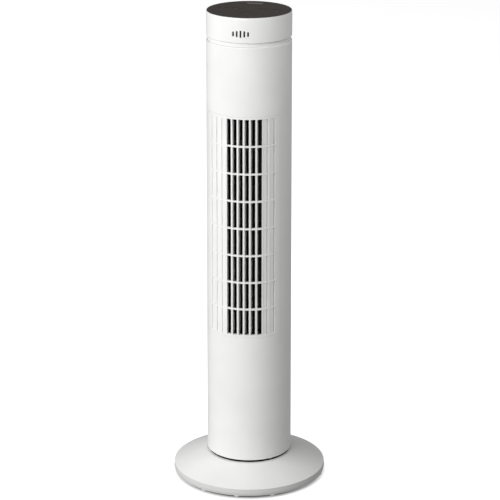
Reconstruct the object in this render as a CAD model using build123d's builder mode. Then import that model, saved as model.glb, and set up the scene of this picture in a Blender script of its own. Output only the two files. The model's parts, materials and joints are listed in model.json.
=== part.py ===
"""Oscillating tower fan, modelled as the separate pieces it is assembled from.

Frame: millimetres, +Z up, the front of the fan towards -Y, origin on the floor under the middle of the base.
The column turns on the base about the Z axis. The crossflow impeller stands on its own axis behind the
outlet grille.
"""

import os
from math import acos, asin, atan2, cos, degrees, pi, radians, sin, sqrt, tan

from build123d import *

os.makedirs("parts", exist_ok=True)

# ---------------------------------------------------------------- driving dimensions
overall_height = 780.0
seam = 0.2  # gap between neighbouring mouldings
pilot_radius = 1.55  # holes that 3 mm screws bite into
clearance_radius = 1.8  # holes that 3 mm screws pass through
small_pilot_radius = 1.35
small_clearance_radius = 1.5

base_radius = 125.3
base_rim_low = 5.8
base_rim_middle = 10.5  # height of the rim's widest line
base_rim_high = 17.4
mouth_radius = 66.2  # opening in the base's top, filled by the turntable plate
turntable_low = 37.7
turntable_high = 40.2

column_low = 44.2
column_high = 733.4
column_low_radius = 69.3
column_high_radius = 67.5
column_wall = 3.0

slot_pitch = 9.7  # across the front
row_pitch = 44.9  # up the front
slot_rows = 8
slot_columns = 11
first_open_slot = 3  # slots before this one, counted from the left, are blind
last_open_slot = 8
fin_thickness = 2.8
fin_rear_y = -54.6
bar_height = 2.6
bar_depth = 3.3
grille_high = 619.2  # underside of the frame above the top row of slots
grille_low = grille_high - slot_rows * row_pitch + bar_height
recess_depth = 0.8  # of a blind slot
groove_depth = 3.0  # of the groove along the outer side of a blind slot right of the open ones
left_groove_depth = 1.3
groove_width = 2.1
insert_half_angle = 56.3

impeller_y = 6.0
impeller_radius = 42.0
blade_root_radius = 33.5
blade_count = 30
impeller_low = 258.0
impeller_high = 623.0
impeller_sections = 6

duct_low = 248.0
duct_high = 632.0
duct_plate = 3.0

head_radius = 67.5
head_wall = 2.5
panel_radius = 66.5
panel_thickness = 2.8
key_travel = 0.5
key_sink = 0.25  # how far the keys' faces lie below the panel's


# ---------------------------------------------------------------- helpers
def column_radius(z):
    """Outer radius of the column, which tapers evenly towards its top."""
    share = (z - column_low) / (column_high - column_low)
    return column_low_radius + (column_high_radius - column_low_radius) * share


def radial_plane(angle):
    """Vertical plane through the Z axis, its x along the radius at an angle from the front, its y up."""
    outward = Vector(sin(radians(angle)), -cos(radians(angle)), 0)
    return Plane(origin=(0, 0, 0), x_dir=outward, z_dir=outward.cross(Vector(0, 0, 1)))


def wall_band(low, high, inner, outer, start, end, corner=0.0):
    """Stretch of the tapered wall between two heights, two depths under its surface and two angles."""
    with BuildPart() as band:
        with BuildSketch(radial_plane(start)):
            with BuildLine():
                Polyline(
                    (column_radius(low) - inner, low),
                    (column_radius(low) - outer, low),
                    (column_radius(high) - outer, high),
                    (column_radius(high) - inner, high),
                    close=True,
                )
            make_face()
            if corner:
                fillet(vertices().sort_by(Axis.X)[-2:], radius=corner)
        revolve(axis=Axis.Z, revolution_arc=end - start)
    return band.part


def ring_points(radius, count, start=0.0, centre_y=0.0):
    """Points evenly spread on a circle, the first at an angle from +X."""
    angles = [radians(start + 360 / count * k) for k in range(count)]
    return [(radius * cos(a), centre_y + radius * sin(a)) for a in angles]


def at_height(points, z, turn=(0, 0, 0)):
    """Locations at several points of one height, all turned the same way."""
    return [Location((x, y, z), turn) for x, y in points]


def screw(shank_radius, length, head_radius, head_height):
    """Cross-recessed screw along Z, its head's underside at z 0 and its shank downwards."""
    recess = (head_radius * 1.1, head_radius * 0.25, head_height * 0.6)
    with BuildPart() as made:
        Cylinder(shank_radius, length, align=(Align.CENTER, Align.CENTER, Align.MAX))
        Cylinder(head_radius, head_height, align=(Align.CENTER, Align.CENTER, Align.MIN))
        fillet(made.edges().sort_by(Axis.Z)[-1], radius=head_height * 0.4)
        for turn in (0, 90):
            with Locations(Location((0, 0, head_height), (0, 0, turn))):
                Box(*recess, align=(Align.CENTER, Align.CENTER, Align.MAX), mode=Mode.SUBTRACT)
    return made.part


def screw_group(one, places):
    """The same screw at several places, as one part of separate solids."""
    with BuildPart() as group:
        with Locations(*places):
            add(one)
    return group.part


def involute(angle):
    """Involute function of a pressure angle in radians."""
    return tan(angle) - angle


def gear_tooth(teeth, module, addendum, root_radius, backlash):
    """Outline of one involute tooth that points along +X, its foot a little inside the root circle."""
    pressure = radians(20)
    pitch_radius = teeth * module / 2
    base = pitch_radius * cos(pressure)
    tip = pitch_radius + addendum
    half_at_pitch = pi / (2 * teeth) - backlash / (4 * pitch_radius)
    flank = []
    steps = 5
    for step in range(steps + 1):
        radius = max(base, root_radius) + (tip - max(base, root_radius)) * step / steps
        half = half_at_pitch + involute(pressure) - involute(acos(min(1.0, base / radius)))
        flank.append((radius * cos(half), radius * sin(half)))
    foot_angle = asin(flank[0][1] / sqrt(flank[0][0] ** 2 + flank[0][1] ** 2))
    foot_radius = root_radius - 0.4
    flank.insert(0, (foot_radius * cos(foot_angle), foot_radius * sin(foot_angle)))
    mirrored = [(x, -y) for x, y in reversed(flank)]
    with BuildSketch() as tooth:
        with BuildLine():
            Polyline(*flank, *mirrored, close=True)
        make_face()
    return tooth.sketch


def save(part, name):
    """Labels a finished piece and writes it as the STEP file of that name."""
    part.label = name
    export_step(part, f"parts/{name}.step")


# ---------------------------------------------------------------- base
base_flange_inner = 112.5
base_flange_top = 8.3
base_ledge_inner = 58.0
base_ledge_low = 35.2
base_screw_ring = 88.0
base_screw_count = 5
base_post_radius = 5.0
ballast_outer = 107.0
ballast_inner = 58.0
ballast_thickness = 3.2
turntable_screw_ring = 62.0
gland_z = 11.6
gland_radius = 3.5
gland_bore = 2.7
lug_count = 13
lug_start = 272.0  # degrees from +X
lug_ring_radius = 119.7
lug_radius = 5.0
lug_low = 4.4
lug_high = 12.0
foot_count = 6
foot_start = 270.0
foot_ring_radius = 101.5
foot_pad_radius = 5.0
foot_plug_radius = 1.95
foot_plug_length = 2.0

foot_places = ring_points(foot_ring_radius, foot_count, foot_start)

with BuildPart() as base_cover:
    with BuildSketch(Plane.XZ) as base_section:
        with BuildLine():
            Polyline(
                (base_flange_inner, base_rim_low),
                (base_radius - 1.1, base_rim_low),
                (base_radius, base_rim_middle),
                (base_radius - 0.6, base_rim_high),
                (mouth_radius + 6.3, turntable_high - 0.9),
                (mouth_radius + 4.3, turntable_high - 0.2),
                (mouth_radius, turntable_high),
                (mouth_radius, turntable_low),
                (base_ledge_inner, turntable_low),
                (base_ledge_inner, base_ledge_low),
                (mouth_radius + 5.3, base_ledge_low),
                (base_radius - 8.3, base_rim_high),
                (base_radius - 4.7, base_rim_high - 4.0),
                (base_radius - 5.3, base_flange_top),
                (base_flange_inner, base_flange_top),
                close=True,
            )
        make_face()
        rim_corners = base_section.vertices().sort_by(Axis.X)[-3:]
        for corner, radius in zip(rim_corners, (0.6, 1.0, 8.0)):
            fillet(corner, radius=radius)
    revolve(axis=Axis.Z)
    # posts that take the screws of the underside plate
    with BuildSketch(Plane.XY.offset(base_flange_top)):
        with PolarLocations(base_screw_ring, base_screw_count, start_angle=90):
            Circle(base_post_radius)
    extrude(until=Until.NEXT)
    with BuildSketch(Plane.XY.offset(base_flange_top)):
        with PolarLocations(base_screw_ring, base_screw_count, start_angle=90):
            Circle(pilot_radius)
    extrude(amount=12.0, mode=Mode.SUBTRACT)
    # bosses under the ledge that take the turntable's screws
    with BuildSketch(Plane.XY.offset(base_ledge_low)):
        with PolarLocations(turntable_screw_ring, 4, start_angle=45):
            Circle(3.6)
    extrude(amount=-5.0)
    with BuildSketch(Plane.XY.offset(turntable_low)):
        with PolarLocations(turntable_screw_ring, 4, start_angle=45):
            Circle(pilot_radius)
    extrude(amount=-8.0, mode=Mode.SUBTRACT)
    # lugs under the rim
    with BuildSketch(Plane.XY.offset(lug_low)):
        with Locations(*ring_points(lug_ring_radius, lug_count, lug_start)):
            Circle(lug_radius)
    extrude(amount=lug_high - lug_low)
    # cord outlet through the back of the rim
    with BuildSketch(Plane.XZ.offset(-base_radius - 1.0)):
        with Locations((0, gland_z)):
            Circle(gland_radius)
    extrude(amount=12.0, mode=Mode.SUBTRACT)
save(base_cover.part, "base_cover")

base_plate_radius = base_flange_inner - seam
with BuildPart() as base_plate:
    with BuildSketch(Plane.XY.offset(base_rim_low)):
        Circle(base_plate_radius)
        with PolarLocations(base_screw_ring, base_screw_count, start_angle=90):
            Circle(clearance_radius, mode=Mode.SUBTRACT)
        with Locations(*foot_places):
            Circle(foot_plug_radius + 0.15, mode=Mode.SUBTRACT)
    extrude(amount=base_flange_top - base_rim_low - seam)
    fillet(base_plate.edges().group_by(Axis.Z)[0].sort_by(SortBy.RADIUS)[-1], radius=0.8)
    # stiffening rings on the inside
    with BuildSketch(Plane.XY.offset(base_flange_top - seam)):
        Circle(50.0)
        Circle(48.0, mode=Mode.SUBTRACT)
        Circle(30.0)
        Circle(28.0, mode=Mode.SUBTRACT)
    extrude(amount=4.0)
    with BuildSketch(Plane.XY.offset(base_rim_low)):
        with PolarLocations(base_screw_ring, base_screw_count, start_angle=90):
            Circle(3.4)
    extrude(amount=1.0, mode=Mode.SUBTRACT)
save(base_plate.part, "base_plate")

with BuildPart() as ballast_ring:
    with BuildSketch(Plane.XY.offset(base_flange_top - seam)):
        Circle(ballast_outer)
        Circle(ballast_inner, mode=Mode.SUBTRACT)
        with PolarLocations(base_screw_ring, base_screw_count, start_angle=90):
            Circle(base_post_radius + 0.6, mode=Mode.SUBTRACT)
    extrude(amount=ballast_thickness)
save(ballast_ring.part, "ballast_ring")

with BuildPart() as rubber_feet:
    with BuildSketch(Plane.XY):
        with Locations(*foot_places):
            Circle(foot_pad_radius)
    extrude(amount=base_rim_low)
    fillet(rubber_feet.edges().group_by(Axis.Z)[0], radius=0.8)
    with BuildSketch(Plane.XY.offset(base_rim_low)):
        with Locations(*foot_places):
            Circle(foot_plug_radius)
    extrude(amount=foot_plug_length)
save(rubber_feet.part, "rubber_feet")

base_screw_points = ring_points(base_screw_ring, base_screw_count, 90)
base_screws = screw_group(
    screw(1.5, 9.0, 3.1, 0.9), at_height(base_screw_points, base_rim_low + 1.0, (180, 0, 0))
)
save(base_screws, "base_screws")

with BuildPart() as cord_gland:
    with BuildSketch(Plane.XZ.offset(-base_radius + 0.4)):
        with Locations((0, gland_z)):
            Circle(gland_radius - 0.1)
            Circle(gland_bore, mode=Mode.SUBTRACT)
    extrude(amount=8.0)
save(cord_gland.part, "cord_gland")

# ---------------------------------------------------------------- swing pivot
hub_tube_radius = 22.0
hub_bore = 16.0
hub_flange_radius = 41.0
hub_flange = 2.4
hub_top = 50.2
hub_screw_ring = 35.0
gear_screw_ring = 19.0
with BuildPart() as turntable:
    with BuildSketch(Plane.XY.offset(turntable_low)):
        Circle(mouth_radius - seam)
        Circle(hub_tube_radius + 2.0, mode=Mode.SUBTRACT)
        with PolarLocations(turntable_screw_ring, 4, start_angle=45):
            Circle(clearance_radius, mode=Mode.SUBTRACT)
    extrude(amount=turntable_high - turntable_low)
    # bosses on the underside that take the hub's screws
    with BuildSketch(Plane.XY.offset(turntable_low)):
        with PolarLocations(hub_screw_ring, 4, start_angle=45):
            Circle(4.0)
    extrude(amount=-4.5)
    with BuildSketch(Plane.XY.offset(turntable_high)):
        with PolarLocations(hub_screw_ring, 4, start_angle=45):
            Circle(1.65)
    extrude(amount=-7.0, mode=Mode.SUBTRACT)
save(turntable.part, "turntable")

turntable_screw_places = at_height(ring_points(turntable_screw_ring, 4, 45), turntable_high)
turntable_screws = screw_group(screw(1.5, 9.0, 2.9, 1.5), turntable_screw_places)
save(turntable_screws, "turntable_screws")

with BuildPart() as pivot_hub:
    with BuildSketch(Plane.XY.offset(turntable_high)):
        Circle(hub_flange_radius)
        Circle(hub_bore, mode=Mode.SUBTRACT)
        with PolarLocations(hub_screw_ring, 4, start_angle=45):
            Circle(clearance_radius, mode=Mode.SUBTRACT)
    extrude(amount=hub_flange)
    with BuildSketch(Plane.XY.offset(turntable_low)):
        Circle(hub_tube_radius)
        Circle(hub_bore, mode=Mode.SUBTRACT)
    extrude(amount=hub_top - turntable_low)
    with BuildSketch(Plane.XY.offset(hub_top)):
        with PolarLocations(gear_screw_ring, 3, start_angle=30):
            Circle(1.3)
    extrude(amount=-9.0, mode=Mode.SUBTRACT)
save(pivot_hub.part, "pivot_hub")

hub_screw_places = at_height(ring_points(hub_screw_ring, 4, 45), turntable_high + hub_flange)
hub_screws = screw_group(screw(1.6, 7.0, 3.0, 1.6), hub_screw_places)
save(hub_screws, "hub_screws")

foot_plate_low = 46.0
foot_plate_high = 49.2
with BuildPart() as slide_ring:
    with BuildSketch(Plane.XY.offset(turntable_high)):
        Circle(57.0)
        Circle(49.0, mode=Mode.SUBTRACT)
    extrude(amount=foot_plate_low - turntable_high - 0.3)
    fillet(slide_ring.edges().group_by(Axis.Z)[-1], radius=0.8)
save(slide_ring.part, "slide_ring")

gear_module = 1.0
gear_teeth = 63
pinion_teeth = 14
gear_addendum = 0.8
gear_dedendum = 1.15
gear_backlash = 0.3
gear_low = hub_top
gear_thickness = 5.0
gear_root = gear_teeth * gear_module / 2 - gear_dedendum
pinion_root = pinion_teeth * gear_module / 2 - gear_dedendum
pinion_y = (gear_teeth + pinion_teeth) * gear_module / 2
sector_teeth = 21
big_tooth = gear_tooth(gear_teeth, gear_module, gear_addendum, gear_root, gear_backlash)
small_tooth = gear_tooth(pinion_teeth, gear_module, gear_addendum, pinion_root, gear_backlash)
tooth_step = 360 / gear_teeth
sector_arc = tooth_step * sector_teeth
sector_start = 90 - (sector_arc - tooth_step) / 2

with BuildPart() as swing_gear:
    with BuildSketch(Plane.XY.offset(gear_low)):
        Circle(gear_root)
        with PolarLocations(0, sector_teeth, start_angle=sector_start, angular_range=sector_arc):
            add(big_tooth)
        Circle(hub_bore, mode=Mode.SUBTRACT)
        with PolarLocations(gear_screw_ring, 3, start_angle=30):
            Circle(small_clearance_radius, mode=Mode.SUBTRACT)
    extrude(amount=gear_thickness)
save(swing_gear.part, "swing_gear")

gear_screw_places = at_height(ring_points(gear_screw_ring, 3, 30), gear_low + gear_thickness)
gear_screws = screw_group(screw(1.25, 12.0, 2.6, 1.4), gear_screw_places)
save(gear_screws, "gear_screws")

motor_shaft_radius = 2.5
with BuildPart() as swing_pinion:
    with BuildSketch(Plane.XY.offset(gear_low + 0.3)):
        with Locations((0, pinion_y)):
            Circle(pinion_root)
            with PolarLocations(0, pinion_teeth, start_angle=270 + 180 / pinion_teeth):
                add(small_tooth)
            Circle(motor_shaft_radius, mode=Mode.SUBTRACT)
    extrude(amount=gear_thickness - 0.6)
save(swing_pinion.part, "swing_pinion")

swing_motor_low = 60.0
with BuildPart() as swing_shaft:
    with BuildSketch(Plane.XY.offset(gear_low + 0.3)):
        with Locations((0, pinion_y)):
            Circle(motor_shaft_radius)
    extrude(amount=swing_motor_low + 3.0 - gear_low - 0.3)
save(swing_shaft.part, "swing_shaft")

# ---------------------------------------------------------------- column chassis
foot_boss_ring = 60.5
foot_boss_angles = (40, 140, 220, 320)
foot_boss_places = [
    (foot_boss_ring * sin(radians(a)), -foot_boss_ring * cos(radians(a))) for a in foot_boss_angles
]
foot_post_radius = 3.8
swing_ear_x = 21.5
swing_ear_places = [(-swing_ear_x, pinion_y), (swing_ear_x, pinion_y)]
power_board_z = 100.0
power_post_places = [(-46.0, 12.0), (46.0, 12.0), (-34.0, -36.0), (34.0, -36.0)]

with BuildPart() as column_foot:
    with BuildSketch(Plane.XY.offset(foot_plate_low)):
        Circle(column_radius(foot_plate_low) - column_wall - seam)
        Circle(hub_tube_radius + 0.4, mode=Mode.SUBTRACT)
        with Locations(*foot_boss_places):
            Circle(clearance_radius, mode=Mode.SUBTRACT)
    extrude(amount=foot_plate_high - foot_plate_low)
    with BuildSketch(Plane.XY.offset(foot_plate_high)):
        with Locations(*swing_ear_places):
            Circle(foot_post_radius)
    extrude(amount=swing_motor_low - foot_plate_high)
    with BuildSketch(Plane.XY.offset(swing_motor_low)):
        with Locations(*swing_ear_places):
            Circle(small_pilot_radius)
    extrude(amount=-9.0, mode=Mode.SUBTRACT)
    # posts that carry the power board
    with BuildSketch(Plane.XY.offset(foot_plate_high)):
        with Locations(*power_post_places):
            Circle(foot_post_radius)
    extrude(amount=power_board_z - foot_plate_high)
    with BuildSketch(Plane.XY.offset(power_board_z)):
        with Locations(*power_post_places):
            Circle(1.3)
    extrude(amount=-10.0, mode=Mode.SUBTRACT)
    with BuildSketch(Plane.XY.offset(foot_plate_low)):
        with Locations(*foot_boss_places):
            Circle(3.3)
    extrude(amount=1.8, mode=Mode.SUBTRACT)
save(column_foot.part, "column_foot")

foot_screw_places = at_height(foot_boss_places, foot_plate_low + 1.8, (180, 0, 0))
foot_screws = screw_group(screw(1.5, 12.0, 3.0, 1.6), foot_screw_places)
save(foot_screws, "foot_screws")

with BuildPart() as swing_motor:
    with BuildSketch(Plane.XY.offset(swing_motor_low)):
        with Locations((0, pinion_y)):
            SlotCenterToCenter(2 * swing_ear_x, 7.0)
        with Locations(*swing_ear_places):
            Circle(1.6, mode=Mode.SUBTRACT)
    extrude(amount=1.0)
    with BuildSketch(Plane.XY.offset(swing_motor_low)):
        with Locations((0, pinion_y)):
            Circle(16.0)
    extrude(amount=19.0)
    fillet(swing_motor.edges().group_by(Axis.Z)[-1], radius=1.2)
    with BuildSketch(Plane.XY.offset(swing_motor_low)):
        with Locations((0, pinion_y)):
            Circle(motor_shaft_radius + 0.08)
    extrude(amount=3.5, mode=Mode.SUBTRACT)
    with BuildSketch(Plane.XY.offset(swing_motor_low + 4.0)):
        with Locations((0, pinion_y + 16.5)):
            Rectangle(13.0, 5.0)
    extrude(amount=11.0)
save(swing_motor.part, "swing_motor")

swing_motor_screws = screw_group(
    screw(1.3, 9.0, 2.6, 1.5), at_height(swing_ear_places, swing_motor_low + 1.0)
)
save(swing_motor_screws, "swing_motor_screws")

# ---------------------------------------------------------------- column shells
window_low = grille_low - 4.2
window_high = grille_high + 4.2
insert_flange = 3.0
intake_half_angle = 52.0
intake_low = 262.0
intake_high = 618.0
shell_screw_x = 60.0
shell_screw_heights = (112.0, 440.0, 700.0)
shell_screw_places = [(x, z) for x in (-shell_screw_x, shell_screw_x) for z in shell_screw_heights]
half_turn = 90 - degrees(seam / 2 / column_high_radius)


def shell_bosses(front):
    """Screw bosses inside one half of the column, beside the joint and upright ones at the bottom."""
    side = -1 if front else 1
    with BuildPart() as bosses:
        with BuildSketch(Plane.XZ.offset(-side * 0.1)):
            for x, z in shell_screw_places:
                with Locations((x, z)):
                    Circle(4.6)
                with Locations((x * 1.05, z)):
                    Rectangle(8.0, 4.0)
        extrude(amount=-side * (14.0 if front else 40.0))
        with BuildSketch(Plane.XY.offset(foot_plate_high + seam)):
            for x, y in foot_boss_places:
                if y * side > 0:
                    with Locations((x, y)):
                        Circle(4.0)
                    with Locations(Location((x * 1.05, y * 1.05), degrees(atan2(y, x)))):
                        Rectangle(9.0, 4.0)
        extrude(amount=16.0)
        with BuildSketch(radial_plane(0)):
            with BuildLine():
                Polyline(
                    (0, column_low),
                    (column_low_radius - 1.0, column_low),
                    (column_high_radius - 1.0, column_high),
                    (0, column_high),
                    close=True,
                )
            make_face()
        revolve(axis=Axis.Z, mode=Mode.INTERSECT)
    return bosses.part


front_half = wall_band(column_low, column_high, 0, column_wall, -half_turn, half_turn, corner=1.2)
front_window = wall_band(window_low, window_high, -2, column_wall + 2, -insert_half_angle, insert_half_angle)
front_bosses = shell_bosses(True)

with BuildPart() as front_shell:
    add(front_half)
    add(front_window, mode=Mode.SUBTRACT)
    add(front_bosses)
    with BuildSketch(Plane.XZ):
        with Locations(*shell_screw_places):
            Circle(pilot_radius)
    extrude(amount=11.0, mode=Mode.SUBTRACT)
    with BuildSketch(Plane.XY.offset(foot_plate_high)):
        with Locations(*foot_boss_places):
            Circle(pilot_radius)
    extrude(amount=12.0, mode=Mode.SUBTRACT)
save(front_shell.part, "front_shell")

rear_half = wall_band(column_low, column_high, 0, column_wall, 180 - half_turn, 180 + half_turn, corner=1.2)
rear_window = wall_band(
    intake_low, intake_high, -2, column_wall + 2, 180 - intake_half_angle, 180 + intake_half_angle
)
rear_bosses = shell_bosses(False)
screw_seat_y = 9.0

with BuildPart() as rear_shell:
    add(rear_half)
    add(rear_window, mode=Mode.SUBTRACT)
    add(rear_bosses)
    with BuildSketch(Plane.XZ):
        with Locations(*shell_screw_places):
            Circle(clearance_radius)
    extrude(amount=-screw_seat_y - 1.0, mode=Mode.SUBTRACT)
    with BuildSketch(Plane.XZ.offset(-screw_seat_y)):
        with Locations(*shell_screw_places):
            Circle(3.3)
    extrude(amount=-50.0, mode=Mode.SUBTRACT)
    with BuildSketch(Plane.XY.offset(foot_plate_high)):
        with Locations(*foot_boss_places):
            Circle(pilot_radius)
    extrude(amount=12.0, mode=Mode.SUBTRACT)
save(rear_shell.part, "rear_shell")

shell_screws = screw_group(
    screw(1.5, 18.0, 2.9, 1.8), [Location((x, screw_seat_y, z), (-90, 0, 0)) for x, z in shell_screw_places]
)
save(shell_screws, "shell_screws")

# ---------------------------------------------------------------- outlet grille
slot_width = slot_pitch - fin_thickness
slot_centres = [slot_pitch * (k - (slot_columns - 1) / 2) for k in range(slot_columns)]
open_centres = slot_centres[first_open_slot:last_open_slot + 1]
blind_centres = slot_centres[:first_open_slot] + slot_centres[last_open_slot + 1:]
open_left = open_centres[0] - slot_width / 2
open_right = open_centres[-1] + slot_width / 2
insert_wall = groove_depth + 2.0
slot_height = row_pitch - bar_height
slot_bottoms = [grille_low + row_pitch * k for k in range(slot_rows)]
insert_gap = degrees(0.15 / column_high_radius)

with BuildPart() as column_core:
    with BuildSketch(radial_plane(0)):
        with BuildLine():
            Polyline(
                (0, column_low),
                (column_low_radius, column_low),
                (column_high_radius, column_high),
                (0, column_high),
                close=True,
            )
        make_face()
    revolve(axis=Axis.Z)

insert_face = wall_band(
    window_low + seam, window_high - seam, 0, column_wall + 0.1, -insert_half_angle + insert_gap,
    insert_half_angle - insert_gap,
)
insert_back = wall_band(
    window_low - insert_flange, window_high + insert_flange, column_wall + 0.05, insert_wall,
    -insert_half_angle - 2.6, insert_half_angle + 2.6,
)
grille_bars = [
    wall_band(bottom - bar_height, bottom, 0, bar_depth, degrees(asin(open_left / 68.0)) - 0.6,
              degrees(asin(open_right / 68.0)) + 0.6)
    for bottom in slot_bottoms[1:]
]

with BuildPart() as grille_fins:
    with BuildSketch(Plane.XY.offset(grille_low - 1.0)):
        for centre in open_centres[:-1]:
            with Locations((centre + slot_pitch / 2, fin_rear_y)):
                Rectangle(fin_thickness, 20.0, align=(Align.CENTER, Align.MAX))
        with Locations((open_left, fin_rear_y)):
            Rectangle(fin_thickness, 8.0, align=(Align.MAX, Align.MAX))
        with Locations((open_right, fin_rear_y)):
            Rectangle(fin_thickness, 4.0, align=(Align.MIN, Align.MAX))
    extrude(amount=grille_high - grille_low + 2.0)
    add(column_core.part, mode=Mode.INTERSECT)


def blind_slots(spans, depth):
    """Shallow pockets with radial sides in the column's front, one in every row for each span across it."""
    with BuildPart() as pockets:
        for bottom in slot_bottoms:
            with BuildSketch(Plane.XY.offset(bottom)):
                for near, far in spans:
                    near_y = -sqrt(column_low_radius ** 2 - near ** 2)
                    far_y = -sqrt(column_low_radius ** 2 - far ** 2)
                    with BuildLine():
                        Polyline(
                            (near * 1.1, near_y * 1.1), (far * 1.1, far_y * 1.1), (far * 0.9, far_y * 0.9),
                            (near * 0.9, near_y * 0.9), close=True,
                        )
                    make_face()
            extrude(amount=slot_height)
        add(wall_band(grille_low - 1, grille_high + 1, -2, depth, -insert_half_angle, insert_half_angle),
            mode=Mode.INTERSECT)
    return pockets.part


blind_sides = [(centre, 1 if centre > 0 else -1) for centre in blind_centres]
recess_spans = [(c - side * slot_width / 2, c + side * slot_width / 2) for c, side in blind_sides]
groove_spans = [(far - side * groove_width, far) for (near, far), (c, side) in zip(recess_spans, blind_sides)]
recess_tool = blind_slots(recess_spans, recess_depth)
groove_tools = [
    blind_slots(groove_spans[:first_open_slot], left_groove_depth),
    blind_slots(groove_spans[first_open_slot:], groove_depth),
]

with BuildPart() as outlet_grille:
    add(insert_face)
    add(insert_back)
    with BuildSketch(Plane.XY.offset(grille_low)):
        with Locations((open_left, -80.0)):
            Rectangle(open_right - open_left, 60.0, align=(Align.MIN, Align.MIN))
    extrude(amount=grille_high - grille_low, mode=Mode.SUBTRACT)
    add(grille_fins.part)
    for bar in grille_bars:
        add(bar)
    add(recess_tool, mode=Mode.SUBTRACT)
    for tool in groove_tools:
        add(tool, mode=Mode.SUBTRACT)
save(outlet_grille.part, "outlet_grille")

# ---------------------------------------------------------------- intake grille
intake_pitch_x = 9.0
intake_pitch_z = 27.0
intake_bar = 2.4
intake_rib = 2.2
intake_frame = 6.0
intake_face = wall_band(
    intake_low + seam, intake_high - seam, 0, column_wall, 180 - intake_half_angle + insert_gap,
    180 + intake_half_angle - insert_gap,
)
intake_back = wall_band(
    intake_low - insert_flange, intake_high + insert_flange, column_wall + 0.05, column_wall + 1.8,
    180 - intake_half_angle - 2.6, 180 + intake_half_angle + 2.6,
)
intake_rows = int((intake_high - intake_low - 2 * intake_frame) / intake_pitch_z)
intake_bar_heights = [intake_low + intake_frame + intake_pitch_z * k for k in range(intake_rows + 1)]
intake_bars = [
    wall_band(z - intake_bar / 2, z + intake_bar / 2, 0, column_wall, 180 - intake_half_angle + 3,
              180 + intake_half_angle - 3)
    for z in intake_bar_heights
]
intake_hole = wall_band(
    intake_low + intake_frame, intake_high - intake_frame, -2, column_wall + 4,
    184 - intake_half_angle, 176 + intake_half_angle,
)
with BuildPart() as intake_ribs:
    with BuildSketch(Plane.XY.offset(intake_low + 4.0)):
        for k in range(-5, 6):
            with Locations((intake_pitch_x * k, 30.0)):
                Rectangle(intake_rib, 50.0, align=(Align.CENTER, Align.MIN))
    extrude(amount=intake_high - intake_low - 8.0)
    add(wall_band(intake_low + 1, intake_high - 1, 0, column_wall + 1.8, 180 - intake_half_angle + 2,
                  180 + intake_half_angle - 2), mode=Mode.INTERSECT)

with BuildPart() as intake_grille:
    add(intake_face)
    add(intake_back)
    add(intake_hole, mode=Mode.SUBTRACT)
    add(intake_ribs.part)
    for bar in intake_bars:
        add(bar)
save(intake_grille.part, "intake_grille")

# ---------------------------------------------------------------- duct around the impeller
harness_angle = -68.0
harness_ring = 60.0
harness_hole_radius = 4.5
harness_x = harness_ring * sin(radians(harness_angle))
harness_y = -harness_ring * cos(radians(harness_angle))
duct_wall = 1.8
duct_boss_radius = 3.2
scroll_low = duct_low + duct_plate
scroll_high = duct_high
scroll_points = [(-34.0, 35.0), (-42.5, 24.0), (-47.5, 6.0), (-47.0, -14.0), (-40.0, -34.0), (-28.0, -50.0)]
scroll_bosses = [(-50.5, 6.0), (-40.0, -39.0)]
tongue_boss = (41.5, -31.0)
duct_screw_places = scroll_bosses + [tongue_boss]

with BuildPart() as duct_scroll:
    with BuildSketch(Plane.XY.offset(scroll_low)):
        with BuildLine() as scroll_line:
            Spline(*scroll_points)
        trace(scroll_line.line, line_width=duct_wall)
        with Locations(*scroll_bosses):
            Circle(duct_boss_radius)
            Circle(small_pilot_radius, mode=Mode.SUBTRACT)
    extrude(amount=scroll_high - scroll_low)
save(duct_scroll.part, "duct_scroll")

with BuildPart() as duct_tongue:
    with BuildSketch(Plane.XY.offset(scroll_low)):
        with BuildLine() as tongue_line:
            Polyline((44.5, -14.0), (38.5, -28.0), (35.2, -48.0))
        trace(tongue_line.line, line_width=duct_wall)
        with Locations((44.5, -14.0)):
            Circle(2.0)
        with Locations(tongue_boss):
            Circle(duct_boss_radius)
            Circle(small_pilot_radius, mode=Mode.SUBTRACT)
    extrude(amount=scroll_high - scroll_low)
save(duct_tongue.part, "duct_tongue")

motor_bolt_places = ring_points(29.0, 3, 30, impeller_y)

with BuildPart() as duct_floor:
    with BuildSketch(Plane.XY.offset(duct_low)):
        Circle(column_radius(duct_low) - column_wall - 0.4)
        with Locations((0, impeller_y)):
            Circle(14.0, mode=Mode.SUBTRACT)
        with Locations((harness_x, harness_y)):
            Circle(harness_hole_radius, mode=Mode.SUBTRACT)
        with Locations(*motor_bolt_places):
            Circle(1.4, mode=Mode.SUBTRACT)
        with Locations(*duct_screw_places):
            Circle(small_clearance_radius, mode=Mode.SUBTRACT)
    extrude(amount=duct_plate)
save(duct_floor.part, "duct_floor")

bush_radius = 8.0
with BuildPart() as duct_ceiling:
    with BuildSketch(Plane.XY.offset(duct_high)):
        Circle(column_radius(duct_high) - column_wall - 0.4)
        with Locations((harness_x, harness_y)):
            Circle(harness_hole_radius, mode=Mode.SUBTRACT)
        with Locations(*duct_screw_places):
            Circle(small_clearance_radius, mode=Mode.SUBTRACT)
    extrude(amount=duct_plate)
    with BuildSketch(Plane.XY.offset(duct_high)):
        with Locations((0, impeller_y)):
            Circle(bush_radius + 2.5)
    extrude(amount=12.0)
    with BuildSketch(Plane.XY.offset(duct_high)):
        with Locations((0, impeller_y)):
            Circle(bush_radius)
    extrude(amount=12.0, mode=Mode.SUBTRACT)
save(duct_ceiling.part, "duct_ceiling")

duct_screws = screw_group(
    screw(1.25, 9.0, 2.5, 1.5),
    at_height(duct_screw_places, duct_high + duct_plate)
    + at_height(duct_screw_places, duct_low, (180, 0, 0)),
)
save(duct_screws, "duct_screws")

# ---------------------------------------------------------------- impeller and its motor
axle_radius = 3.0
section_height = (impeller_high - impeller_low) / impeller_sections
blade_mid = (impeller_radius + blade_root_radius) / 2
blade_sketch_points = [(blade_root_radius, 0.0), (blade_mid, 2.6), (impeller_radius - 0.8, 8.2)]

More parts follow.
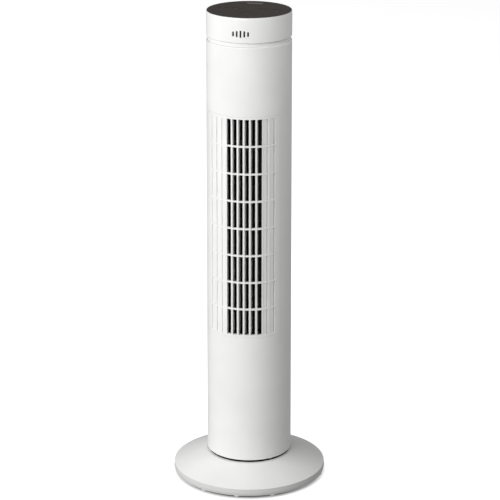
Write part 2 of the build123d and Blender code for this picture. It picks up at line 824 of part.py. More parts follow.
with BuildSketch() as blade_profile:
    with BuildLine() as blade_line:
        ThreePointArc(*blade_sketch_points)
    trace(blade_line.line, line_width=1.2)

with BuildPart() as crossflow_impeller:
    with BuildSketch(Plane.XY.offset(impeller_low)):
        with Locations((0, impeller_y)):
            with PolarLocations(0, blade_count):
                add(blade_profile.sketch)
    extrude(amount=impeller_high - impeller_low)
    for k in range(impeller_sections + 1):
        with BuildSketch(Plane.XY.offset(impeller_low + section_height * k - (2.0 if k else 0.0))):
            with Locations((0, impeller_y)):
                Circle(impeller_radius)
                if 0 < k < impeller_sections:
                    Circle(blade_root_radius - 6.0, mode=Mode.SUBTRACT)
        extrude(amount=2.0 if k in (0, impeller_sections) else 3.0)
    with BuildSketch(Plane.XY.offset(impeller_low - 5.0)):
        with Locations((0, impeller_y)):
            Circle(9.0)
    extrude(amount=17.0)
    with BuildSketch(Plane.XY.offset(impeller_high - 10.0)):
        with Locations((0, impeller_y)):
            Circle(7.0)
    extrude(amount=10.0)
    with BuildSketch(Plane.XY.offset(impeller_low - 5.0)):
        with Locations((0, impeller_y)):
            Circle(6.0)
    extrude(amount=14.0, mode=Mode.SUBTRACT)
    with BuildSketch(Plane.XY.offset(impeller_high)):
        with Locations((0, impeller_y)):
            Circle(axle_radius)
    extrude(amount=-8.0, mode=Mode.SUBTRACT)
save(crossflow_impeller.part, "crossflow_impeller")

with BuildPart() as drive_bushing:
    with BuildSketch(Plane.XY.offset(impeller_low - 5.0)):
        with Locations((0, impeller_y)):
            Circle(6.0)
            Circle(4.0, mode=Mode.SUBTRACT)
    extrude(amount=14.0)
save(drive_bushing.part, "drive_bushing")

motor_low = 190.0
motor_high = 240.0
with BuildPart() as motor_shaft:
    with BuildSketch(Plane.XY.offset(motor_low - 6.0)):
        with Locations((0, impeller_y)):
            Circle(4.0)
    extrude(amount=impeller_low + 9.0 - motor_low + 6.0)
    chamfer(motor_shaft.edges().group_by(Axis.Z)[0] + motor_shaft.edges().group_by(Axis.Z)[-1], length=0.5)
save(motor_shaft.part, "motor_shaft")

with BuildPart() as impeller_axle:
    with BuildSketch(Plane.XY.offset(impeller_high - 8.0)):
        with Locations((0, impeller_y)):
            Circle(axle_radius)
    extrude(amount=duct_high + 12.0 - impeller_high + 8.0)
    chamfer(impeller_axle.edges().group_by(Axis.Z)[-1], length=0.5)
save(impeller_axle.part, "impeller_axle")

with BuildPart() as axle_bearing:
    with BuildSketch(Plane.XY.offset(duct_high + 1.0)):
        with Locations((0, impeller_y)):
            Circle(bush_radius)
            Circle(axle_radius + 0.06, mode=Mode.SUBTRACT)
    extrude(amount=10.0)
save(axle_bearing.part, "axle_bearing")

with BuildPart() as fan_motor:
    with BuildSketch(Plane.XY.offset(motor_low)):
        with Locations((0, impeller_y)):
            Circle(33.0)
    extrude(amount=motor_high - motor_low)
    fillet(fan_motor.edges(), radius=3.0)
    with BuildSketch(Plane.XY.offset((motor_low + motor_high) / 2 - 9.0)):
        with Locations((0, impeller_y)):
            Circle(35.0)
    extrude(amount=18.0)
    with BuildSketch(Plane.XY.offset(motor_low - 3.0)):
        with Locations((0, impeller_y)):
            Circle(11.0)
    extrude(amount=3.0)
    with BuildSketch(Plane.XY.offset(motor_high)):
        with Locations((0, impeller_y)):
            Circle(11.0)
    extrude(amount=3.0)
    with BuildSketch(Plane.XY.offset(motor_low - 3.0)):
        with Locations((0, impeller_y)):
            Circle(4.06)
    extrude(amount=motor_high - motor_low + 6.0, mode=Mode.SUBTRACT)
    with BuildSketch(Plane.XY.offset(motor_high)):
        with Locations(*motor_bolt_places):
            Circle(1.4)
    extrude(amount=-8.0, mode=Mode.SUBTRACT)
save(fan_motor.part, "fan_motor")

with BuildPart() as motor_grommets:
    with BuildSketch(Plane.XY.offset(motor_high)):
        with Locations(*motor_bolt_places):
            Circle(5.0)
            Circle(1.5, mode=Mode.SUBTRACT)
    extrude(amount=duct_low - motor_high)
save(motor_grommets.part, "motor_grommets")

motor_screws = screw_group(screw(1.3, 17.0, 3.2, 1.6), at_height(motor_bolt_places, duct_low + duct_plate))
save(motor_screws, "motor_screws")

# ---------------------------------------------------------------- power section
power_board_thickness = 1.6
power_top = power_board_z + power_board_thickness
with BuildPart() as power_board:
    with BuildSketch(Plane.XY.offset(power_board_z)):
        RectangleRounded(104.0, 62.0, 4.0)
        with Locations((0, -26)):
            RectangleRounded(80.0, 30.0, 3.0)
        with Locations(*power_post_places):
            Circle(small_clearance_radius, mode=Mode.SUBTRACT)
    extrude(amount=power_board_thickness)
    with Locations((18.0, 16.0, power_top), (18.0, -14.0, power_top)):
        Box(19.0, 15.5, 15.5, align=(Align.CENTER, Align.CENTER, Align.MIN))
    with Locations((-2.0, 0.0, power_top)):
        Box(12.0, 20.0, 9.0, align=(Align.CENTER, Align.CENTER, Align.MIN))
    with Locations((-8.0, -32.0, power_top), (6.0, -32.0, power_top)):
        Box(11.0, 8.0, 9.5, align=(Align.CENTER, Align.CENTER, Align.MIN))
save(power_board.part, "power_board")

with BuildPart() as run_capacitor:
    with Locations((-26.0, 8.0, power_top)):
        Box(26.0, 38.0, 27.0, align=(Align.CENTER, Align.CENTER, Align.MIN))
    fillet(run_capacitor.edges().filter_by(Axis.Z), radius=1.5)
    fillet(run_capacitor.edges().group_by(Axis.Z)[-1], radius=1.0)
save(run_capacitor.part, "run_capacitor")

power_board_screws = screw_group(screw(1.25, 8.0, 2.6, 1.5), at_height(power_post_places, power_top))
save(power_board_screws, "power_board_screws")

# ---------------------------------------------------------------- head
head_low = 740.0
collar_radius = 65.0  # seen in the groove between column and head
neck_low = 727.0
neck_radius = column_high_radius - column_wall - seam
head_floor = 2.5
rim_sink = 0.4  # how far the ring's top lies below the panel
rim_draft_height = 4.0
rim_draft = 0.5
panel_low = overall_height - panel_thickness
front_slot_centre = 754.4
front_slot_pitch = 5.9
front_slot_width = 2.9
front_slot_lengths = (7.7, 10.0, 11.5, 10.0, 7.7)
board_low = 768.0
board_thickness = 1.6
board_post_places = [(36.0, 38.0), (-36.0, 38.0), (40.0, -34.0), (-40.0, -34.0)]
display_place = (0, 48.0)
display_width = 26.0
display_depth = 8.0

with BuildPart() as head_ring:
    with BuildSketch(radial_plane(0)):
        with BuildLine():
            Polyline(
                (neck_radius, neck_low),
                (neck_radius, column_high + seam),
                (collar_radius, column_high + seam),
                (collar_radius, head_low),
                (head_radius, head_low),
                (head_radius, overall_height - rim_draft_height),
                (head_radius - rim_draft, overall_height - rim_sink),
                (panel_radius + 0.15, overall_height - rim_sink),
                (panel_radius + 0.15, panel_low),
                (head_radius - head_wall - 1.2, panel_low),
                (head_radius - head_wall - 1.2, panel_low - 3.0),
                (head_radius - head_wall, panel_low - 4.2),
                (head_radius - head_wall, head_low + head_floor),
                (14.0, head_low + head_floor),
                (14.0, head_low),
                (neck_radius - 2.0, head_low - 2.0),
                (neck_radius - 2.0, neck_low),
                close=True,
            )
        make_face()
    revolve(axis=Axis.Z)
    fillet(
        head_ring.edges().filter_by(GeomType.CIRCLE).filter_by(
            lambda e: abs(e.radius - head_radius) < 0.01 and e.center().Z < head_low + 0.1
        ),
        radius=0.8,
    )
    with BuildSketch(Plane.XY.offset(head_low + head_floor)):
        with Locations(*board_post_places):
            Circle(3.6)
    extrude(amount=board_low - head_low - head_floor)
    with BuildSketch(Plane.XY.offset(board_low)):
        with Locations(*board_post_places):
            Circle(small_pilot_radius)
    extrude(amount=-10.0, mode=Mode.SUBTRACT)
    with BuildSketch(Plane.XZ.offset(head_radius - 6.0)):
        for k, length in enumerate(front_slot_lengths):
            with Locations(((k - 2) * front_slot_pitch, front_slot_centre)):
                SlotOverall(length, front_slot_width, rotation=90)
    extrude(amount=10.0, mode=Mode.SUBTRACT)
    with BuildSketch(Plane.XY.offset(head_low - 3.0)):
        with Locations((harness_x * 0.93, harness_y * 0.93)):
            Circle(3.2)
    extrude(amount=8.0, mode=Mode.SUBTRACT)
save(head_ring.part, "head_ring")

with BuildPart() as sensor_window:
    with BuildSketch(Plane.XY.offset(front_slot_centre - 8.0)):
        Circle(head_radius - head_wall - 0.1)
        Circle(head_radius - head_wall - 1.3, mode=Mode.SUBTRACT)
        with Locations((0, -head_radius)):
            Rectangle(34.0, 40.0, mode=Mode.INTERSECT)
    extrude(amount=16.0)
save(sensor_window.part, "sensor_window")

with BuildPart() as control_board:
    with BuildSketch(Plane.XY.offset(board_low)):
        Circle(58.0)
        with Locations(*board_post_places):
            Circle(small_clearance_radius, mode=Mode.SUBTRACT)
    extrude(amount=board_thickness)
    board_top = board_low + board_thickness
    with Locations((22.0, 30.0, board_top)):
        Box(12.0, 12.0, 1.4, align=(Align.CENTER, Align.CENTER, Align.MIN))
    with Locations((-14.0, 30.0, board_top)):
        Box(15.0, 6.0, 4.5, align=(Align.CENTER, Align.CENTER, Align.MIN))
save(control_board.part, "control_board")

with BuildPart() as display_module:
    with BuildSketch(Plane.XY.offset(board_top)):
        with Locations(display_place):
            Rectangle(display_width + 2.0, display_depth + 3.0)
    extrude(amount=panel_low - board_top - 0.3)
    chamfer(display_module.edges().group_by(Axis.Z)[-1], length=0.5)
save(display_module.part, "display_module")

board_screws = screw_group(screw(1.25, 8.0, 2.6, 1.5), at_height(board_post_places, board_top))
save(board_screws, "board_screws")

key_places = {
    "power_key": (0.0, -26.0, 8.0),
    "timer_key": (-44.0, 4.0, 6.5),
    "mode_key": (-22.0, 4.0, 6.5),
    "swing_key": (22.0, 4.0, 6.5),
    "speed_key": (44.0, 4.0, 6.5),
}
key_gap = 0.35
light_places = [(-6.0, 4.0), (0.0, 4.0), (6.0, 4.0), (-44.0, -8.0), (-22.0, -8.0), (22.0, -8.0), (44.0, -8.0)]
light_radius = 0.9

with BuildPart() as control_panel:
    with BuildSketch(Plane.XY.offset(panel_low)):
        Circle(panel_radius)
        for x, y, radius in key_places.values():
            with Locations((x, y)):
                Circle(radius + key_gap, mode=Mode.SUBTRACT)
        with Locations(*light_places):
            Circle(light_radius + 0.02, mode=Mode.SUBTRACT)
        with Locations(display_place):
            RectangleRounded(display_width + 0.1, display_depth + 0.1, 2.0, mode=Mode.SUBTRACT)
    extrude(amount=panel_thickness)
save(control_panel.part, "control_panel")

with BuildPart() as display_window:
    with BuildSketch(Plane.XY.offset(panel_low)):
        with Locations(display_place):
            RectangleRounded(display_width, display_depth, 1.95)
    extrude(amount=panel_thickness)
save(display_window.part, "display_window")

with BuildPart() as light_pipes:
    with BuildSketch(Plane.XY.offset(overall_height - 0.1)):
        with Locations(*light_places):
            Circle(light_radius)
    extrude(amount=-7.9)
save(light_pipes.part, "light_pipes")

with BuildPart() as indicator_leds:
    with Locations(*[(x, y, board_top) for x, y in light_places]):
        Box(2.0, 1.3, 0.9, align=(Align.CENTER, Align.CENTER, Align.MIN))
save(indicator_leds.part, "indicator_leds")

switch_height = 3.4
with BuildPart() as tact_switches:
    with Locations(*[(x, y, board_top) for x, y, radius in key_places.values()]):
        Box(6.0, 6.0, switch_height, align=(Align.CENTER, Align.CENTER, Align.MIN))
        Cylinder(1.7, switch_height + 0.6, align=(Align.CENTER, Align.CENTER, Align.MIN))
save(tact_switches.part, "tact_switches")

key_flange_top = panel_low - 0.3
key_stem_low = board_top + switch_height + 0.6 + key_travel + 0.15


def key(x, y, radius):
    """Round push key: cap just under the panel's face, a collar that keeps it in, a stem over its switch."""
    with BuildPart() as made:
        with BuildSketch(Plane.XY.offset(key_flange_top)):
            with Locations((x, y)):
                Circle(radius)
        extrude(amount=overall_height - key_sink - key_flange_top)
        fillet(made.edges().group_by(Axis.Z)[-1], radius=0.3)
        with BuildSketch(Plane.XY.offset(key_flange_top - 1.0)):
            with Locations((x, y)):
                Circle(radius + 1.2)
        extrude(amount=1.0)
        with BuildSketch(Plane.XY.offset(key_stem_low)):
            with Locations((x, y)):
                Circle(1.6)
        extrude(amount=key_flange_top - 1.0 - key_stem_low)
    return made.part


for key_name, (x, y, radius) in key_places.items():
    save(key(x, y, radius), key_name)

with BuildPart() as ir_receiver:
    with Locations((0, -58.5, front_slot_centre)):
        Box(9.0, 4.5, 8.5)
    with BuildSketch(Plane.XZ.offset(60.75)):
        with Locations((0, front_slot_centre + 0.5)):
            Circle(2.6)
    extrude(amount=1.5)
    with Locations((-2.5, -57.0, front_slot_centre + 4.25), (0, -57.0, front_slot_centre + 4.25),
                   (2.5, -57.0, front_slot_centre + 4.25)):
        Box(0.6, 0.6, board_low - front_slot_centre - 4.25, align=(Align.CENTER, Align.CENTER, Align.MIN))
save(ir_receiver.part, "ir_receiver")

with BuildPart() as buzzer:
    with BuildSketch(Plane.XY.offset(board_low)):
        with Locations((24.0, 26.0)):
            Circle(6.0)
    extrude(amount=-7.5)
    with BuildSketch(Plane.XY.offset(board_low - 7.5)):
        with Locations((24.0, 26.0)):
            Circle(1.2)
    extrude(amount=3.0, mode=Mode.SUBTRACT)
save(buzzer.part, "buzzer")

with BuildPart() as wire_harness:
    with BuildLine():
        FilletPolyline(
            (-46.0, harness_y, power_top),
            (-46.0, harness_y, power_top + 16.0),
            (harness_x, harness_y, power_top + 46.0),
            (harness_x, harness_y, 700.0),
            (harness_x * 0.93, harness_y * 0.93, 722.0),
            (harness_x * 0.93, harness_y * 0.93, board_low - 1.0),
            radius=8.0,
        )
    with BuildSketch(Plane(origin=(-46.0, harness_y, power_top), z_dir=(0, 0, 1))):
        Circle(2.0)
    sweep()
save(wire_harness.part, "wire_harness")
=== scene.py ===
"""Tower fan on a plain pale floor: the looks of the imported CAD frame.

In metres, +Z up, the fan's front towards -Y.
"""

import json
import math

import bmesh
import bpy
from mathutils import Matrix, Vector


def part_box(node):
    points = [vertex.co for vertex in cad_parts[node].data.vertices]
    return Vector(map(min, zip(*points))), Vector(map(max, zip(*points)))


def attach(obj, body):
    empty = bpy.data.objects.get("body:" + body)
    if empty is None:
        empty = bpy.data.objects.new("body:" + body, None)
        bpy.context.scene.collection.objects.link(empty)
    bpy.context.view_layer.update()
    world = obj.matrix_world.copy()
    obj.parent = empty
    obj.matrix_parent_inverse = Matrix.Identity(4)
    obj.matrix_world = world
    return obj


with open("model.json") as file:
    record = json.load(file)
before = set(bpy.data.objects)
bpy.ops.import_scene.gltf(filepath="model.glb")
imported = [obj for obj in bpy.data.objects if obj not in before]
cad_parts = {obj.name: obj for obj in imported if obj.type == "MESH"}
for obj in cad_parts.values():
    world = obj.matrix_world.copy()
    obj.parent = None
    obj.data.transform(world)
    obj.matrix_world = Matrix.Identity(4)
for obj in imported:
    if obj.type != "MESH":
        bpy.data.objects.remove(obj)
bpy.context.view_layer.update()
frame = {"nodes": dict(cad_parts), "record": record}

# ---------------------------------------------------------------- driving values
CAMERA_AZIMUTH = math.radians(11.5)  # to the right of the fan's front
CAMERA_DISTANCE = 3.2365
CAMERA_HEIGHT = 1.4418
CAMERA_TILT = math.radians(18.09)  # below level
CAMERA_LENS = 151.33
CAMERA_SHIFT_X = 0.0017
CAMERA_SENSOR = 36.0  # millimetres, as the lens
CAMERA_FAR = 100.0

MM = 0.001
MARK_WIDTH = 0.5 * MM
MARK_PROUD = 0.06 * MM
MARK_SUNK = 0.03 * MM

RIM_PAINTED_SHADE = 0.78  # share of the base cover's colour that is left on its rim, a painted shade for the rim's shadow near the floor
RIM_PAINTED_SHADE_TOP = (0.0165, 0.0178)  # heights between which the rim's painted shade ends

FLOOR_HALF_WIDTH = 40.0
FLOOR_GLOW = 0.7
PAINTED_SHADOW_SHARE = 0.05  # share of the floor's colour that is left under the base, a painted shadow
PAINTED_SHADOW_EDGE = (0.1115, 0.1285)  # distances from the middle between which that painted shadow ends

SKY_STRENGTH = 0.2
GROUND_STRENGTH = 0.39
HORIZON = 0.1  # how far above and below level the two blend into each other
FAN_MIDDLE = (0, 0, 0.4)
FAN_HEAD = (0, 0, 0.75)
# softboxes: azimuth from the camera's direction (+ to the right), height angle, distance, size, power, target
LIGHTS = {
    "near_key": (-22, 25, 4.0, 1.8, 47, FAN_MIDDLE),
    "key": (-42, 20, 4.0, 1.8, 57, FAN_MIDDLE),
    "side": (-65, 25, 4.0, 1.8, 58, FAN_MIDDLE),
    "rim": (-120, 30, 4.0, 1.8, 19, FAN_MIDDLE),
    "top_fill": (60, 45, 1.2, 0.5, 4.1, FAN_HEAD),
    "back": (175, 55, 3.0, 2.0, 5.2, FAN_MIDDLE),
}


# ---------------------------------------------------------------- material helpers
def new_material(name):
    """An empty node material with a Principled shader; returns material, nodes, links, shader."""
    material = bpy.data.materials.new(name)
    material.use_nodes = True
    nodes, links = material.node_tree.nodes, material.node_tree.links
    return material, nodes, links, nodes["Principled BSDF"]


def object_space(nodes, links, stretch=(1, 1, 1)):
    """Object coordinates, stretched, so that a pattern keeps its real size on every piece."""
    coordinates = nodes.new("ShaderNodeTexCoord")
    mapping = nodes.new("ShaderNodeMapping")
    mapping.inputs["Scale"].default_value = stretch
    links.new(coordinates.outputs["Object"], mapping.inputs["Vector"])
    return mapping.outputs["Vector"]


def noise(nodes, links, vector, scale, detail=3.0, roughness=0.5):
    texture = nodes.new("ShaderNodeTexNoise")
    texture.inputs["Scale"].default_value = scale
    texture.inputs["Detail"].default_value = detail
    texture.inputs["Roughness"].default_value = roughness
    links.new(vector, texture.inputs["Vector"])
    return texture.outputs["Fac"]


def remap(nodes, links, value, low, high, start=0.3, end=0.7):
    """value, from start to end, mapped to low to high."""
    node = nodes.new("ShaderNodeMapRange")
    for socket, number in (("From Min", start), ("From Max", end), ("To Min", low), ("To Max", high)):
        node.inputs[socket].default_value = number
    links.new(value, node.inputs["Value"])
    return node.outputs["Result"]


def tint(nodes, links, value, dark, light, start=0.3, end=0.7):
    """Colour ramp between two close shades."""
    ramp = nodes.new("ShaderNodeValToRGB")
    ramp.color_ramp.elements[0].position = start
    ramp.color_ramp.elements[1].position = end
    ramp.color_ramp.elements[0].color = (*dark, 1)
    ramp.color_ramp.elements[1].color = (*light, 1)
    links.new(value, ramp.inputs["Fac"])
    return ramp.outputs["Color"]


def bump(nodes, links, height, strength, distance, normal=None):
    node = nodes.new("ShaderNodeBump")
    node.inputs["Strength"].default_value = strength
    node.inputs["Distance"].default_value = distance
    links.new(height, node.inputs["Height"])
    if normal is not None:
        links.new(normal, node.inputs["Normal"])
    return node.outputs["Normal"]


def moulded_plastic(name, dark, light, roughness, grain=0.02, grain_scale=2500, soft_scale=18, coat=0.0,
                    specular=0.5):
    """Injection-moulded plastic: two close shades in slow drifts, spark-eroded grain, patches of gloss."""
    material, nodes, links, shader = new_material(name)
    vector = object_space(nodes, links)
    drift = noise(nodes, links, vector, soft_scale, 2.0)
    fine = noise(nodes, links, vector, grain_scale, 2.0, 0.6)
    links.new(tint(nodes, links, drift, dark, light), shader.inputs["Base Color"])
    links.new(remap(nodes, links, drift, roughness * 0.9, roughness * 1.1), shader.inputs["Roughness"])
    waviness = bump(nodes, links, drift, 0.15, 0.0003)
    links.new(bump(nodes, links, fine, grain * 10, 0.00002, waviness), shader.inputs["Normal"])
    shader.inputs["Specular IOR Level"].default_value = specular
    shader.inputs["Coat Weight"].default_value = coat
    shader.inputs["Coat Roughness"].default_value = 0.12
    return material


def paint_shade_below(material, share, low, high):
    """Paints shade into a material's colour: leaves a share of it below a low height, and all of it above a
    high one.
    """
    nodes, links = material.node_tree.nodes, material.node_tree.links
    colour = nodes["Principled BSDF"].inputs["Base Color"]
    parts = nodes.new("ShaderNodeSeparateXYZ")
    links.new(object_space(nodes, links), parts.inputs["Vector"])
    shade = nodes.new("ShaderNodeVectorMath")
    shade.operation = "SCALE"
    links.new(colour.links[0].from_socket, shade.inputs[0])
    links.new(remap(nodes, links, parts.outputs["Z"], share, 1.0, low, high), shade.inputs["Scale"])
    links.new(shade.outputs["Vector"], colour)


def machined_metal(name, dark, light, roughness, stretch=(40, 40, 3000)):
    """Turned or ground metal: fine lines along one direction."""
    material, nodes, links, shader = new_material(name)
    lines = noise(nodes, links, object_space(nodes, links, stretch), 1.0, 4.0, 0.6)
    links.new(tint(nodes, links, lines, dark, light), shader.inputs["Base Color"])
    links.new(remap(nodes, links, lines, roughness * 0.75, roughness * 1.3), shader.inputs["Roughness"])
    links.new(bump(nodes, links, lines, 0.12, 0.00005), shader.inputs["Normal"])
    shader.inputs["Metallic"].default_value = 1.0
    return material


def spangled_metal(name, dark, light, roughness, scale=260):
    """Zinc-coated sheet or casting: crystal patches of slightly different shade and gloss."""
    material, nodes, links, shader = new_material(name)
    vector = object_space(nodes, links)
    crystals = nodes.new("ShaderNodeTexVoronoi")
    crystals.inputs["Scale"].default_value = scale
    links.new(vector, crystals.inputs["Vector"])
    shade = nodes.new("ShaderNodeSeparateColor")
    links.new(crystals.outputs["Color"], shade.inputs["Color"])
    fine = noise(nodes, links, vector, 1800, 3.0)
    links.new(tint(nodes, links, shade.outputs["Red"], dark, light, 0.0, 1.0), shader.inputs["Base Color"])
    links.new(remap(nodes, links, shade.outputs["Green"], roughness * 0.8, roughness * 1.25, 0, 1),
              shader.inputs["Roughness"])
    links.new(bump(nodes, links, fine, 0.15, 0.00004), shader.inputs["Normal"])
    shader.inputs["Metallic"].default_value = 1.0
    return material


def rubber(name, dark, light):
    """Dull moulded rubber with a dusty speckle."""
    material, nodes, links, shader = new_material(name)
    vector = object_space(nodes, links)
    speckle = noise(nodes, links, vector, 900, 5.0, 0.7)
    links.new(tint(nodes, links, speckle, dark, light, 0.35, 0.75), shader.inputs["Base Color"])
    links.new(remap(nodes, links, speckle, 0.68, 0.9), shader.inputs["Roughness"])
    links.new(bump(nodes, links, speckle, 0.25, 0.00008), shader.inputs["Normal"])
    return material


def circuit_board(name):
    """Solder mask over copper tracks: a rectangular maze of slightly raised, lighter lines."""
    material, nodes, links, shader = new_material(name)
    vector = object_space(nodes, links)
    tracks = nodes.new("ShaderNodeTexBrick")
    tracks.offset = 0.37
    sizes = {"Scale": 130, "Mortar Size": 0.06, "Mortar Smooth": 0.2, "Brick Width": 1.4, "Row Height": 0.35}
    for socket, number in sizes.items():
        tracks.inputs[socket].default_value = number
    tracks.inputs["Color1"].default_value = (0.012, 0.10, 0.04, 1)
    tracks.inputs["Color2"].default_value = (0.018, 0.14, 0.055, 1)
    tracks.inputs["Mortar"].default_value = (0.06, 0.26, 0.10, 1)
    links.new(vector, tracks.inputs["Vector"])
    links.new(tracks.outputs["Color"], shader.inputs["Base Color"])
    links.new(remap(nodes, links, noise(nodes, links, vector, 300), 0.28, 0.42), shader.inputs["Roughness"])
    links.new(bump(nodes, links, tracks.outputs["Fac"], 0.3, 0.00006), shader.inputs["Normal"])
    return material


def clear_plastic(name, colour, roughness, weight):
    """Light-guiding or smoked plastic with faint flow marks."""
    material, nodes, links, shader = new_material(name)
    flow = noise(nodes, links, object_space(nodes, links), 220, 2.0)
    dark = tuple(c * 0.9 for c in colour)
    links.new(tint(nodes, links, flow, dark, colour), shader.inputs["Base Color"])
    links.new(remap(nodes, links, flow, roughness * 0.8, roughness * 1.2), shader.inputs["Roughness"])
    links.new(bump(nodes, links, flow, 0.05, 0.0001), shader.inputs["Normal"])
    shader.inputs["Transmission Weight"].default_value = weight
    shader.inputs["IOR"].default_value = 1.49
    return material


def braided_sleeve(name):
    """Woven cable sleeve: two crossed sets of fine strands."""
    material, nodes, links, shader = new_material(name)
    weave = nodes.new("ShaderNodeTexChecker")
    weave.inputs["Scale"].default_value = 900
    weave.inputs["Color1"].default_value = (0.012, 0.012, 0.014, 1)
    weave.inputs["Color2"].default_value = (0.035, 0.035, 0.04, 1)
    vector = object_space(nodes, links, (1, 1, 0.6))
    links.new(vector, weave.inputs["Vector"])
    links.new(weave.outputs["Color"], shader.inputs["Base Color"])
    links.new(remap(nodes, links, noise(nodes, links, vector, 700), 0.55, 0.8), shader.inputs["Roughness"])
    links.new(bump(nodes, links, weave.outputs["Fac"], 0.4, 0.0001), shader.inputs["Normal"])
    return material


MATERIALS = {
    "white_plastic": moulded_plastic(
        "white_plastic", (0.80, 0.80, 0.79), (0.83, 0.83, 0.82), 0.32, coat=0.15
    ),
    "base_white_plastic": moulded_plastic("base_white_plastic", (0.79, 0.79, 0.78), (0.82, 0.82, 0.81), 0.38),
    "dark_panel": moulded_plastic(
        "dark_panel", (0.0400, 0.0327, 0.0273), (0.0465, 0.0387, 0.0329), 0.36, specular=0.05
    ),
    "dark_key": moulded_plastic(
        "dark_key", (0.0382, 0.0312, 0.0260), (0.0447, 0.0372, 0.0316), 0.38, specular=0.05
    ),
    "printed_mark": moulded_plastic(
        "printed_mark", (0.085, 0.083, 0.080), (0.105, 0.103, 0.100), 0.5, specular=0.2
    ),
    "black_plastic": moulded_plastic(
        "black_plastic", (0.006, 0.006, 0.007), (0.010, 0.010, 0.011), 0.6, 0.05, specular=0.3
    ),
    "grey_plastic": moulded_plastic("grey_plastic", (0.24, 0.25, 0.26), (0.30, 0.31, 0.32), 0.5, 0.04),
    "natural_plastic": moulded_plastic("natural_plastic", (0.66, 0.64, 0.56), (0.72, 0.70, 0.62), 0.45, 0.03),
    "smoked_plastic": clear_plastic("smoked_plastic", (0.015, 0.008, 0.010), 0.15, 0.1),
    "clear_plastic": clear_plastic("clear_plastic", (0.75, 0.78, 0.80), 0.12, 0.7),
    "black_rubber": rubber("black_rubber", (0.012, 0.012, 0.012), (0.028, 0.028, 0.027)),
    "display_lens": moulded_plastic("display_lens", (0.115, 0.113, 0.110), (0.135, 0.133, 0.130), 0.3),
    "zinc_steel": spangled_metal("zinc_steel", (0.50, 0.51, 0.52), (0.66, 0.66, 0.64), 0.34, 900),
    "ground_steel": machined_metal("ground_steel", (0.52, 0.52, 0.53), (0.70, 0.70, 0.70), 0.22),
    "ballast_iron": moulded_plastic(
        "ballast_iron", (0.03, 0.03, 0.032), (0.055, 0.055, 0.057), 0.6, 0.2, 600, 60
    ),
    "motor_steel": spangled_metal("motor_steel", (0.40, 0.41, 0.42), (0.58, 0.58, 0.58), 0.38),
    "bearing_bronze": spangled_metal("bearing_bronze", (0.42, 0.27, 0.12), (0.58, 0.40, 0.20), 0.42, 1500),
    "green_board": circuit_board("green_board"),
    "capacitor_case": moulded_plastic("capacitor_case", (0.02, 0.02, 0.022), (0.03, 0.03, 0.033), 0.3),
    "wire_sleeve": braided_sleeve("wire_sleeve"),
}
# painted shade: the base cover's colour is darkened on its rim, standing in for the shadow near the floor
paint_shade_below(MATERIALS["base_white_plastic"], RIM_PAINTED_SHADE, *RIM_PAINTED_SHADE_TOP)


def dress(obj, material):
    """Gives every material slot of an object one material."""
    obj.data.materials.clear()
    obj.data.materials.append(material)


for entry in frame["record"]["subparts"]:
    dress(frame["nodes"][entry["node"]], MATERIALS[entry["material_slot"]])


# ---------------------------------------------------------------- marks printed on the keys
def stroke(builder, points, width, low, high, closed=False):
    """Raised line of even width along points in the XY plane, its ends square or joined up."""
    count = len(points)
    rims = []
    for k, here in enumerate(points):
        before = points[(k - 1) % count] if closed or k else here
        after = points[(k + 1) % count] if closed or k < count - 1 else here
        along = Vector((after[0] - before[0], after[1] - before[1])).normalized()
        side = Vector((-along.y, along.x)) * width / 2
        rims.append([
            builder.verts.new((here[0] + sign * side.x, here[1] + sign * side.y, z))
            for sign, z in ((1, low), (1, high), (-1, high), (-1, low))
        ])
    for k in range(count if closed else count - 1):
        start, end = rims[k], rims[(k + 1) % count]
        for j in range(4):
            builder.faces.new((start[j], start[(j + 1) % 4], end[(j + 1) % 4], end[j]))
    if not closed:
        builder.faces.new(rims[0][::-1])
        builder.faces.new(rims[-1])


def arc(radius, start, end, steps=28):
    """Points along an arc around the origin, angles in degrees from +X."""
    angles = [math.radians(start + (end - start) * k / steps) for k in range(steps + 1)]
    return [(radius * math.cos(a), radius * math.sin(a)) for a in angles]


def wave(middle, height, length, steps=16):
    """Points along one and a half swings of a sine line."""
    return [
        (length * (k / steps - 0.5), middle + height * math.sin(3 * math.pi * k / steps))
        for k in range(steps + 1)
    ]


def arrow_head(tip, heading, size):
    """The two barbs of an arrow as one bent line."""
    barbs = [math.radians(heading + 180 + turn) for turn in (-40, 40)]
    ends = [(tip[0] + size * math.cos(a), tip[1] + size * math.sin(a)) for a in barbs]
    return [ends[0], tip, ends[1]]


def add_key_mark(key, lines):
    """Prints a mark, given in millimetres around the key's middle, on the face of a key."""
    low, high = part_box(f"{key}_key")
    middle = (low + high) / 2
    builder = bmesh.new()
    for points, closed in lines:
        stroke(builder, [(x * MM, y * MM) for x, y in points], MARK_WIDTH, -MARK_SUNK, MARK_PROUD, closed)
    bmesh.ops.recalc_face_normals(builder, faces=builder.faces)
    mesh = bpy.data.meshes.new(f"{key}_mark")
    builder.to_mesh(mesh)
    builder.free()
    mark = bpy.data.objects.new(f"{key}_mark", mesh)
    bpy.context.scene.collection.objects.link(mark)
    mark.location = (middle.x, middle.y, high.z)
    dress(mark, MATERIALS["printed_mark"])
    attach(mark, f"{key}_button")


KEY_MARKS = {
    "power": [(arc(3.2, 120, 420), False), ([(0, 1.2), (0, 4.2)], False)],
    "timer": [(arc(2.6, 0, 348.75, 31), True), ([(0, 1.7), (0, 0), (1.2, -0.6)], False)],
    "mode": [(wave(y, 0.45, 5.2), False) for y in (-1.7, 0.0, 1.7)],
    "swing": [
        (arc(3.0, 210, 330), False), (arrow_head((2.6, -1.5), 60, 1.3), False),
        (arrow_head((-2.6, -1.5), 120, 1.3), False), ([(0, -1.0), (0, 2.6)], False),
    ],
    "speed": [
        ([(-2.0, -1.8), (-2.0, -0.4)], False), ([(0, -1.8), (0, 1.0)], False),
        ([(2.0, -1.8), (2.0, 2.4)], False),
    ],
}
for key, lines in KEY_MARKS.items():
    add_key_mark(key, lines)


